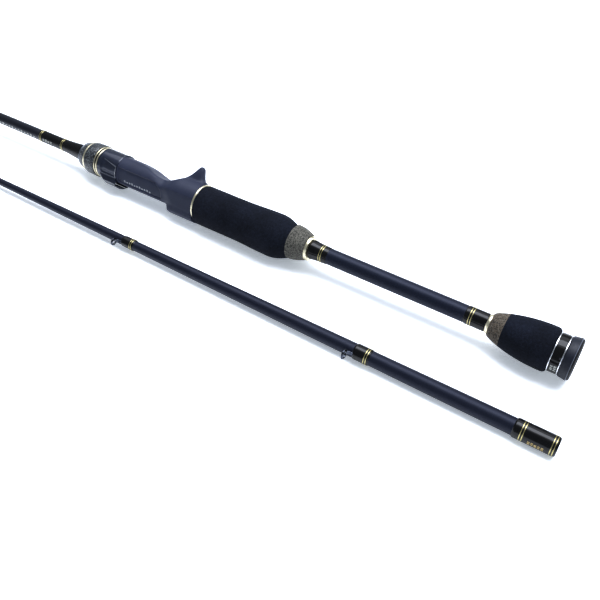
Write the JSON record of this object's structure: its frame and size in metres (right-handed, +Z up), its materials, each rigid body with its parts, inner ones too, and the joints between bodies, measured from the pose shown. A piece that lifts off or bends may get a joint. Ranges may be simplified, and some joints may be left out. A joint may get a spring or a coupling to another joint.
{
  "type": "two-piece baitcasting fishing rod",
  "caption": "Two-piece casting rod, its sections side by side: trigger reel seat, sliding hood and lock nut, foam grips, ring guides and a push-fit ferrule.",
  "frame": {"origin": "centre of the butt section's end face, on the rod's axis", "axes": "+X along the butt section's axis from the butt end towards the tip, +Z up from the floor that both sections lie on, +Y towards the tip section"},
  "size_m": [1.059, 0.0808, 0.0344],
  "materials": {
    "blank": "clear-coated carbon",
    "tube": "satin carbon",
    "foam": "EVA foam",
    "cork": "rubberised cork",
    "cap": "moulded rubbery plastic",
    "gold": "polished, anodised",
    "silver": "polished",
    "thread_gold": "metallic thread under varnish",
    "wrap": "thread under clear varnish",
    "seat": "soft touch",
    "hood": "gloss moulding",
    "nut": "mottled composite under varnish",
    "guide": "dark plated",
    "insert": "polished ring"
  },
  "bodies": {
    "butt_section": {"butt_blank": "blank", "ferrule_plug": "cap", "handle_tube": "tube", "butt_end_disc": "cap", "butt_cap": "cap", "butt_silver_rings": "silver", "butt_band": "wrap", "butt_grip": "foam", "butt_cork_ring": "cork", "butt_check": "gold", "butt_wrap": "wrap", "handle_thread_bands": "thread_gold", "palm_wrap": "wrap", "palm_check": "gold", "palm_cork_ring": "cork", "palm_grip": "foam", "seat_ring": "gold", "reel_seat": "seat", "fore_cone": "wrap", "blank_thread_bands": "thread_gold", "stripper_frame": "guide", "stripper_ring": "insert", "stripper_wraps": "wrap", "second_frame": "guide", "second_ring": "insert", "second_wrap": "wrap"},
    "hood": {"hood": "hood"},
    "lock_nut": {"nut_sleeve": "silver", "nut_rear_rings": "gold", "nut_grip": "nut", "nut_front_ring": "gold", "nut_cone": "nut", "nut_end_ring": "silver"},
    "tip_section": {"tip_blank": "blank", "ferrule_wrap": "wrap", "ferrule_thread_bands": "thread_gold", "guide_thread_bands": "thread_gold", "tip_top_frame": "guide", "tip_top_ring": "insert", "frame_1": "guide", "frame_2": "guide", "frame_3": "guide", "frame_4": "guide", "frame_5": "guide", "frame_6": "guide", "ring_1": "insert", "ring_2": "insert", "ring_3": "insert", "ring_4": "insert", "ring_5": "insert", "ring_6": "insert", "wrap_1": "wrap", "wrap_2": "wrap", "wrap_3": "wrap", "wrap_4": "wrap", "wrap_5": "wrap", "wrap_6": "wrap"}
  },
  "joints": [
    {"name": "hood_slide", "type": "slide", "parent": "butt_section", "child": "hood", "axis": [1, 0, 0], "range_m": [0, 0.014]},
    {"name": "nut_spin", "type": "hinge", "parent": "hood", "child": "lock_nut", "pos_m": [0.3685, 0, 0], "axis": [1, 0, 0], "range_deg": [0, 2520]},
    {"name": "tip_lift", "type": "slide", "parent": "butt_section", "child": "tip_section", "axis": [0, 0, 1], "range_m": [0, 0.12]}
  ],
  "couplings": [
    {"joint": "hood_slide", "follows": "nut_spin", "m_per_rad": 0.00031831}
  ]
}
